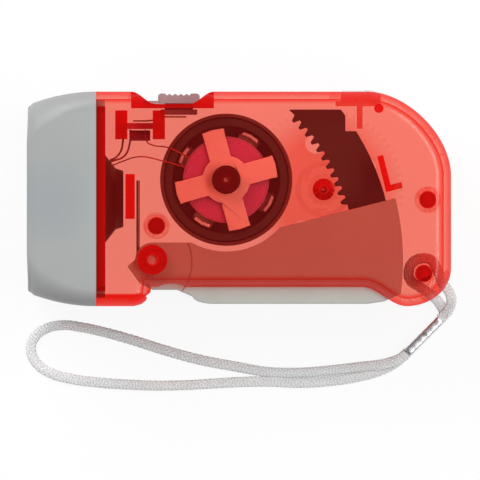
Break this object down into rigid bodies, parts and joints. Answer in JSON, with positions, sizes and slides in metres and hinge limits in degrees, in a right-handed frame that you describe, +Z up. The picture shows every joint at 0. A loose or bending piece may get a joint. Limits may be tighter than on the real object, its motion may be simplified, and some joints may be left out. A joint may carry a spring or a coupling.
{
  "type": "hand-press dynamo flashlight",
  "caption": "Flat see-through flashlight with a squeeze lever that drives a geared flywheel dynamo, a slide switch, a lever lock and a wrist strap.",
  "frame": {"origin": "middle of the flashlight's outline, on the surface that it lies on", "axes": "+X from the lamp to the strap end, +Y from the lever to the switch, +Z up from the side that it lies on"},
  "size_m": [0.1049, 0.0734, 0.036],
  "materials": {
    "casing_red": "glossy, see-through",
    "grey_plastic": "satin",
    "hood_grey": "satin",
    "clear_window": "polished",
    "chrome_dish": "polished",
    "led_resin": "clear resin",
    "circuit_board": "satin",
    "black_plastic": "satin",
    "nylon": "satin",
    "steel": "bright",
    "claw_steel": "bright",
    "magnet": "matt",
    "copper_wire": "enamelled",
    "brass": "bright",
    "diode_resin": "satin",
    "wire_sleeve": "satin",
    "strap_cord": "braided",
    "crimp": "bright"
  },
  "bodies": {
    "casing": {"upper_shell": "casing_red", "lower_shell": "casing_red", "case_screw_front": "steel", "case_screw_rear": "steel", "case_screw_strap": "steel", "hood": "hood_grey", "lens": "clear_window", "reflector": "chrome_dish", "led_1": "led_resin", "led_2": "led_resin", "led_3": "led_resin", "led_board": "circuit_board", "lamp_holder": "black_plastic", "lever_pin": "steel", "return_spring": "steel", "idler_axle": "steel", "rotor_axle": "steel", "lower_claw_plate": "claw_steel", "upper_claw_plate": "claw_steel", "coil_bobbin": "nylon", "coil_winding": "copper_wire", "coil_outer_turns": "copper_wire", "switch_board": "circuit_board", "switch_terminal_low": "brass", "switch_terminal_high": "brass", "rectifier_diode": "diode_resin", "led_wire_front": "wire_sleeve", "led_wire_rear": "wire_sleeve", "coil_wire_outer": "wire_sleeve", "coil_wire_inner": "wire_sleeve", "strap_loop": "strap_cord", "strap_tether": "strap_cord", "strap_ferrule": "crimp"},
    "lever_arm": {"lever": "grey_plastic", "sector_gear": "black_plastic", "sector_screw_1": "steel", "sector_screw_2": "steel"},
    "pinion": {"drive_pinion": "nylon"},
    "idler": {"idler_gear": "nylon", "clutch_ring": "nylon"},
    "rotor": {"rotor_pinion": "nylon", "flywheel": "black_plastic", "ring_magnet": "magnet"},
    "switch_knob": {"switch_slider": "grey_plastic", "switch_contact": "brass"},
    "lever_lock": {"lock_slider": "casing_red"}
  },
  "joints": [
    {"name": "lever_pivot", "type": "hinge", "parent": "casing", "child": "lever_arm", "pos_m": [-0.0212, -0.01505, 0.018], "axis": [0, 0, -1], "range_deg": [0, 22], "stiffness_Nm_per_rad": 0.25, "springref_deg": 51.57, "deforming": ["return_spring"]},
    {"name": "drive_pinion_spin", "type": "hinge", "parent": "casing", "child": "pinion", "pos_m": [0.02078, 0.00217, 0.018], "axis": [0, 0, -1], "range_deg": [0, 330]},
    {"name": "idler_spin", "type": "hinge", "parent": "casing", "child": "idler", "pos_m": [0.02078, 0.00217, 0.018], "axis": [0, 0, 1], "continuous": true},
    {"name": "rotor_spin", "type": "hinge", "parent": "casing", "child": "rotor", "pos_m": [-0.0031, 0.00455, 0.018], "axis": [0, 0, 1], "continuous": true},
    {"name": "switch_slide", "type": "slide", "parent": "casing", "child": "switch_knob", "axis": [-1, 0, 0], "range_m": [0, 0.0035]},
    {"name": "lock_slide", "type": "slide", "parent": "casing", "child": "lever_lock", "axis": [-1, 0, 0], "range_m": [0, 0.0025]}
  ],
  "couplings": [
    {"joint": "drive_pinion_spin", "follows": "lever_pivot", "ratio": 14.444},
    {"joint": "idler_spin", "follows": "rotor_spin", "ratio": -0.25}
  ]
}
